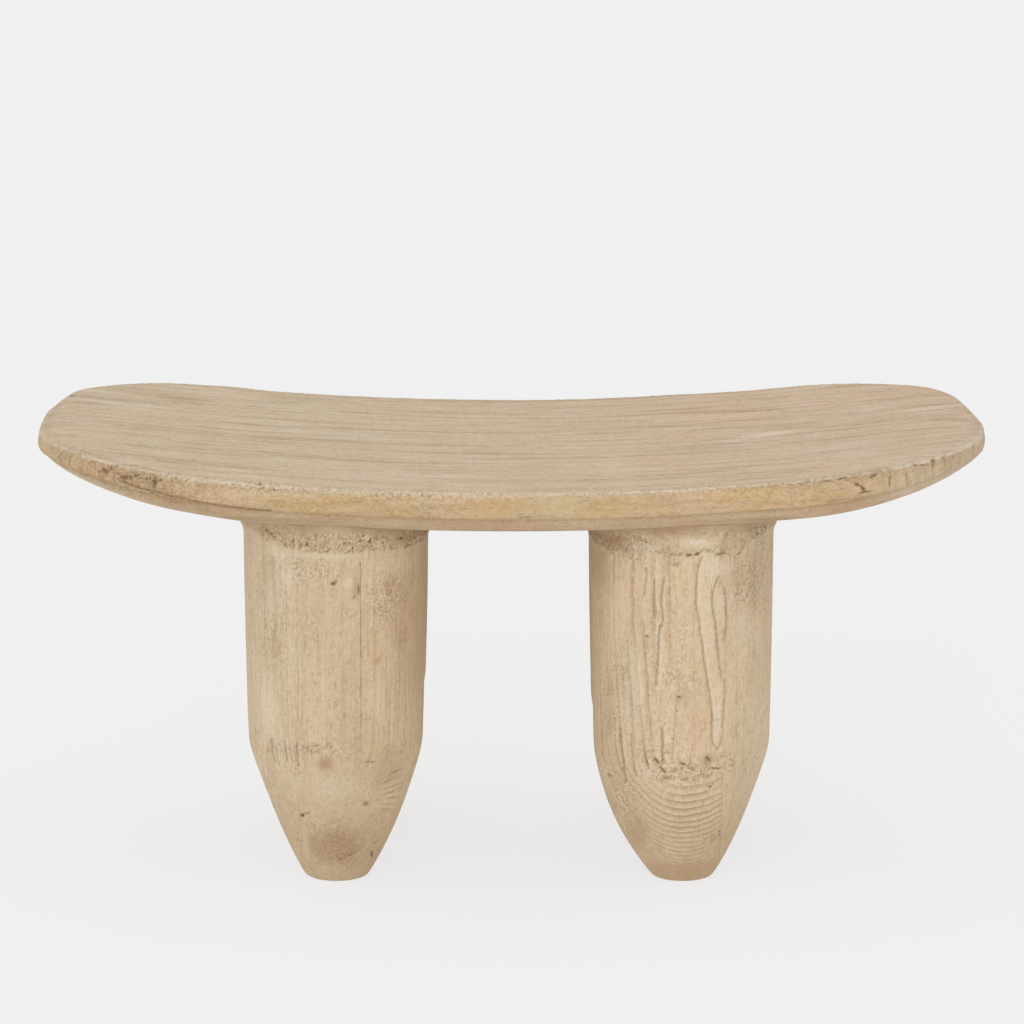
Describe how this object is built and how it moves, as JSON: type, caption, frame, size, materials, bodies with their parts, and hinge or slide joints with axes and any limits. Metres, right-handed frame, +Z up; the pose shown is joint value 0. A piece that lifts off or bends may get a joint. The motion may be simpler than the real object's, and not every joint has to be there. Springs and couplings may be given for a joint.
{
  "type": "carved wooden stool",
  "caption": "Low bench-like stool in bleached wood: a long dished seat slab with raised blunt ends on stout round legs that taper to small flat feet.",
  "frame": {"origin": "on the floor, below the middle of the seat, in the plane of the four feet", "axes": "+X along the seat to the right, +Y from the front row of legs to the back row, +Z up"},
  "size_m": [1, 0.467, 0.4641],
  "materials": {
    "seat_wood": "bleached, wire-brushed hardwood with open straight grain, small checks and a worn arris, dry and matt",
    "leg_wood": "bleached hardwood glued up from upright boards, with ring figure, dark checks and a roughly cut neck, dry and matt"
  },
  "bodies": {
    "root": {"seat": "seat_wood", "leg_front_left": "leg_wood", "leg_front_right": "leg_wood", "leg_back_left": "leg_wood", "leg_back_right": "leg_wood"}
  },
  "joints": []
}
